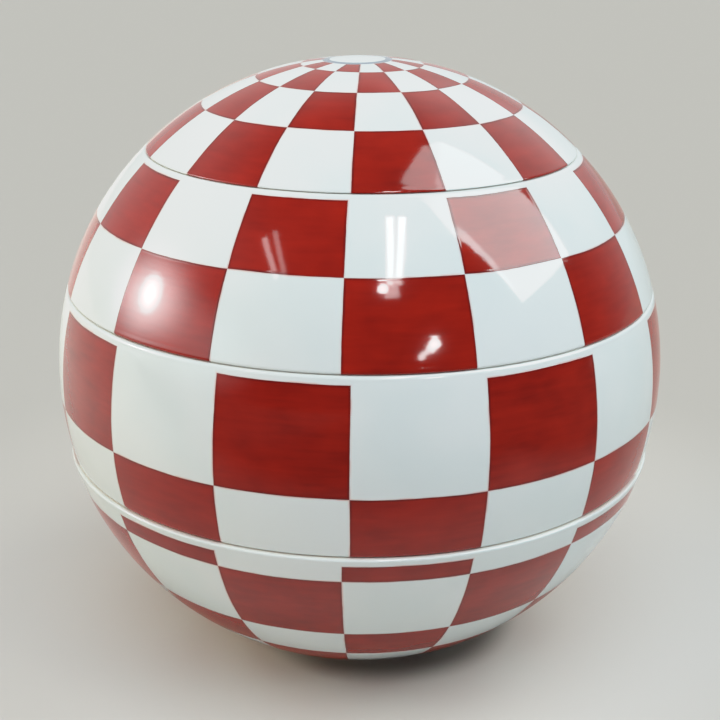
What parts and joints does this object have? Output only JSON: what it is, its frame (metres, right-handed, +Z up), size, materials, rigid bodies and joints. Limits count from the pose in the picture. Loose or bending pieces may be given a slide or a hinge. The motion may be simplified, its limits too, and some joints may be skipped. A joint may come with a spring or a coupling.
{
  "type": "porcelain jubako",
  "caption": "Ball-shaped porcelain stacking food box: a lid and tiers that lift apart, hand-painted in an iron-red check over a white glaze, on a small foot ring.",
  "frame": {"origin": "centre of the foot ring's underside, on the table", "axes": "+Z up along the axis that every piece is turned round; the pictured side faces -Y"},
  "size_m": [0.185, 0.185, 0.183],
  "materials": {
    "painted_porcelain": "glossy clear glaze over white porcelain with hand-painted iron-red checks outside, plain white glaze inside, bare biscuit on seats and foot"
  },
  "bodies": {
    "bottom_tier": {"bottom_tier": "painted_porcelain"},
    "middle_tier": {"middle_tier": "painted_porcelain"},
    "upper_tier": {"upper_tier": "painted_porcelain"},
    "lid": {"lid": "painted_porcelain"}
  },
  "joints": [
    {"name": "middle_tier_lift", "type": "slide", "parent": "bottom_tier", "child": "middle_tier", "axis": [0, 0, 1], "range_m": [0, 0.1]},
    {"name": "upper_tier_lift", "type": "slide", "parent": "middle_tier", "child": "upper_tier", "axis": [0, 0, 1], "range_m": [0, 0.1]},
    {"name": "lid_lift", "type": "slide", "parent": "upper_tier", "child": "lid", "axis": [0, 0, 1], "range_m": [0, 0.1]}
  ]
}
